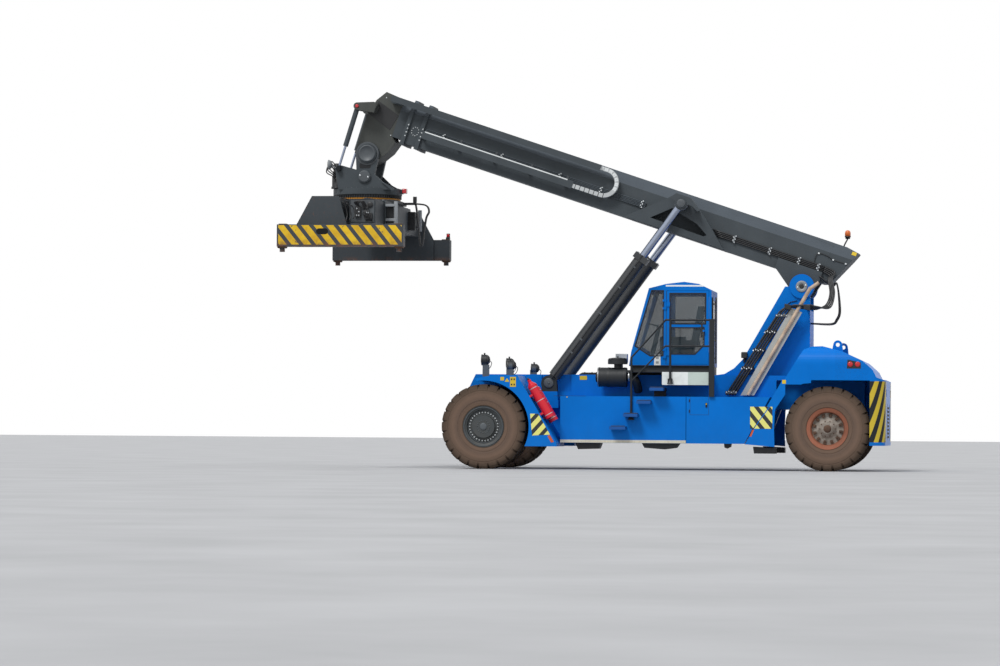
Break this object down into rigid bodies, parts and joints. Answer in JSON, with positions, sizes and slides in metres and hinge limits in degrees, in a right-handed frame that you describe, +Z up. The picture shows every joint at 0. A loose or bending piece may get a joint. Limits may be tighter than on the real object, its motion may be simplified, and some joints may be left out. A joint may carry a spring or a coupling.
{
  "type": "reach stacker",
  "caption": "Wheeled container handler with a telescopic boom on two lifting cylinders, a turning spreader with sliding end beams, a central cab and dual front wheels",
  "frame": {"origin": "middle of the outline on the floor under the tyres", "axes": "+X forward, towards the spreader; +Y to the driver's left; +Z up"},
  "size_m": [11.494, 6.058, 7.3896],
  "materials": {
    "body_paint": "semi-gloss",
    "boom_paint": "satin",
    "head_paint": "satin",
    "dark_metal": "satin",
    "chrome_rod": "polished",
    "tyre_rubber": "dusty",
    "front_rim_paint": "satin",
    "steer_rim_paint": "rusty",
    "clear_glass": "clear",
    "red_paint": "gloss",
    "shield_metal": "satin",
    "lamp_red": "gloss",
    "hose_rubber": "matt",
    "seat_trim": "matt",
    "chain_plastic": "matt"
  },
  "bodies": {
    "chassis": {"main_frame": "body_paint", "boom_tower": "body_paint", "front_axle": "dark_metal", "steer_axle": "dark_metal", "side_boxes": "body_paint", "front_fenders": "body_paint", "rear_skirts": "body_paint", "counterweight": "body_paint", "engine_block": "dark_metal", "cab_shell": "body_paint", "cab_glass": "clear_glass", "cab_interior": "seat_trim", "cab_base": "dark_metal", "steps_and_rails": "dark_metal", "air_cleaner": "dark_metal", "fire_extinguishers": "red_paint", "exhaust": "shield_metal", "front_lamps": "dark_metal", "rear_lamps": "lamp_red", "tower_hoses": "hose_rubber"},
    "door": {"cab_door": "body_paint", "door_glass": "clear_glass"},
    "front_wheels_left": {"tyres_front_left": "tyre_rubber", "rims_front_left": "front_rim_paint"},
    "front_wheels_right": {"tyres_front_right": "tyre_rubber", "rims_front_right": "front_rim_paint"},
    "steer_knuckle_left": {"knuckle_left": "dark_metal"},
    "steer_knuckle_right": {"knuckle_right": "dark_metal"},
    "steer_wheel_left": {"tyre_steer_left": "tyre_rubber", "rim_steer_left": "steer_rim_paint"},
    "steer_wheel_right": {"tyre_steer_right": "tyre_rubber", "rim_steer_right": "steer_rim_paint"},
    "boom": {"outer_boom": "boom_paint", "chain_trough": "boom_paint"},
    "telescope": {"inner_boom": "boom_paint", "boom_head": "head_paint", "chain_tray": "boom_paint"},
    "chain_loop": {"energy_chain": "chain_plastic"},
    "cylinder_barrels": {"lift_barrels": "boom_paint"},
    "cylinder_rods": {"lift_rods": "chrome_rod"},
    "hanger": {"hanger_link": "boom_paint"},
    "yoke_body": {"yoke": "boom_paint"},
    "damping_barrels": {"damper_barrels": "boom_paint"},
    "damping_rods": {"damper_rods": "chrome_rod"},
    "turntable": {"spreader_gear": "dark_metal"},
    "spreader": {"spreader_frame": "boom_paint"},
    "beam_left": {"end_beam_left": "boom_paint"},
    "beam_right": {"end_beam_right": "boom_paint"}
  },
  "joints": [
    {"name": "front_wheels_left_roll", "type": "hinge", "parent": "chassis", "child": "front_wheels_left", "pos_m": [1.888, 1.84, 0.81], "axis": [0, 1, 0], "continuous": true},
    {"name": "front_wheels_right_roll", "type": "hinge", "parent": "chassis", "child": "front_wheels_right", "pos_m": [1.888, -1.84, 0.81], "axis": [0, 1, 0], "continuous": true},
    {"name": "steer_left", "type": "hinge", "parent": "chassis", "child": "steer_knuckle_left", "pos_m": [-4.652, 1.05, 0.81], "axis": [0, 0, 1], "range_deg": [-50, 50]},
    {"name": "steer_right", "type": "hinge", "parent": "chassis", "child": "steer_knuckle_right", "pos_m": [-4.652, -1.05, 0.81], "axis": [0, 0, 1], "range_deg": [-50, 50]},
    {"name": "steer_wheel_left_roll", "type": "hinge", "parent": "steer_knuckle_left", "child": "steer_wheel_left", "pos_m": [-4.652, 1.35, 0.81], "axis": [0, 1, 0], "continuous": true},
    {"name": "steer_wheel_right_roll", "type": "hinge", "parent": "steer_knuckle_right", "child": "steer_wheel_right", "pos_m": [-4.652, -1.35, 0.81], "axis": [0, 1, 0], "continuous": true},
    {"name": "door_swing", "type": "hinge", "parent": "chassis", "child": "door", "pos_m": [-1.474, 0.716, 2.75], "axis": [0, 0, -1], "range_deg": [0, 85]},
    {"name": "boom_lift", "type": "hinge", "parent": "chassis", "child": "boom", "pos_m": [-4.098, 0, 3.554], "axis": [0, 1, 0], "range_deg": [-43, 18.5]},
    {"name": "boom_telescope", "type": "slide", "parent": "boom", "child": "telescope", "axis": [0.9483, 0, 0.3173], "range_m": [0, 6.5]},
    {"name": "chain_travel", "type": "slide", "parent": "boom", "child": "chain_loop", "axis": [0.9483, 0, 0.3173], "range_m": [0, 3.25]},
    {"name": "lift_barrel_swing", "type": "hinge", "parent": "chassis", "child": "cylinder_barrels", "pos_m": [0.761, 0, 1.663], "axis": [0, 1, 0], "range_deg": [-4, 1.8]},
    {"name": "lift_rod_slide", "type": "slide", "parent": "cylinder_barrels", "child": "cylinder_rods", "axis": [-0.592, 0, 0.8059], "range_m": [-0.85, 1.97]},
    {"name": "hanger_swing", "type": "hinge", "parent": "telescope", "child": "hanger", "pos_m": [4.458, 0, 6.165], "axis": [0, -1, 0], "range_deg": [-43, 18.5]},
    {"name": "yoke_swing", "type": "hinge", "parent": "hanger", "child": "yoke_body", "pos_m": [4.498, 0, 5.71], "axis": [0, -1, 0], "range_deg": [-5, 5]},
    {"name": "damper_barrel_swing", "type": "hinge", "parent": "telescope", "child": "damping_barrels", "pos_m": [4.633, 0, 7.085], "axis": [0, -1, 0], "range_deg": [-16.2, 7]},
    {"name": "damper_rod_slide", "type": "slide", "parent": "damping_barrels", "child": "damping_rods", "axis": [0.2927, 0, -0.9562], "range_m": [-0.12, 0.28]},
    {"name": "spreader_slew", "type": "hinge", "parent": "yoke_body", "child": "turntable", "pos_m": [4.528, 0, 5.3], "axis": [0, 0, 1], "range_deg": [-185, 95]},
    {"name": "side_shift", "type": "slide", "parent": "turntable", "child": "spreader", "axis": [0, 1, 0], "range_m": [-0.8, 0.8]},
    {"name": "beam_left_slide", "type": "slide", "parent": "spreader", "child": "beam_left", "axis": [0, 1, 0], "range_m": [0, 3.05]},
    {"name": "beam_right_slide", "type": "slide", "parent": "spreader", "child": "beam_right", "axis": [0, -1, 0], "range_m": [0, 3.05]}
  ],
  "couplings": [
    {"joint": "steer_right", "follows": "steer_left", "ratio": 1},
    {"joint": "chain_travel", "follows": "boom_telescope", "ratio": 0.5},
    {"joint": "lift_barrel_swing", "follows": "boom_lift", "ratio": 0.09},
    {"joint": "lift_rod_slide", "follows": "boom_lift", "m_per_rad": -2.62},
    {"joint": "damper_barrel_swing", "follows": "hanger_swing", "ratio": 0.37},
    {"joint": "damper_rod_slide", "follows": "hanger_swing", "m_per_rad": -0.36},
    {"joint": "beam_right_slide", "follows": "beam_left_slide", "ratio": 1}
  ]
}
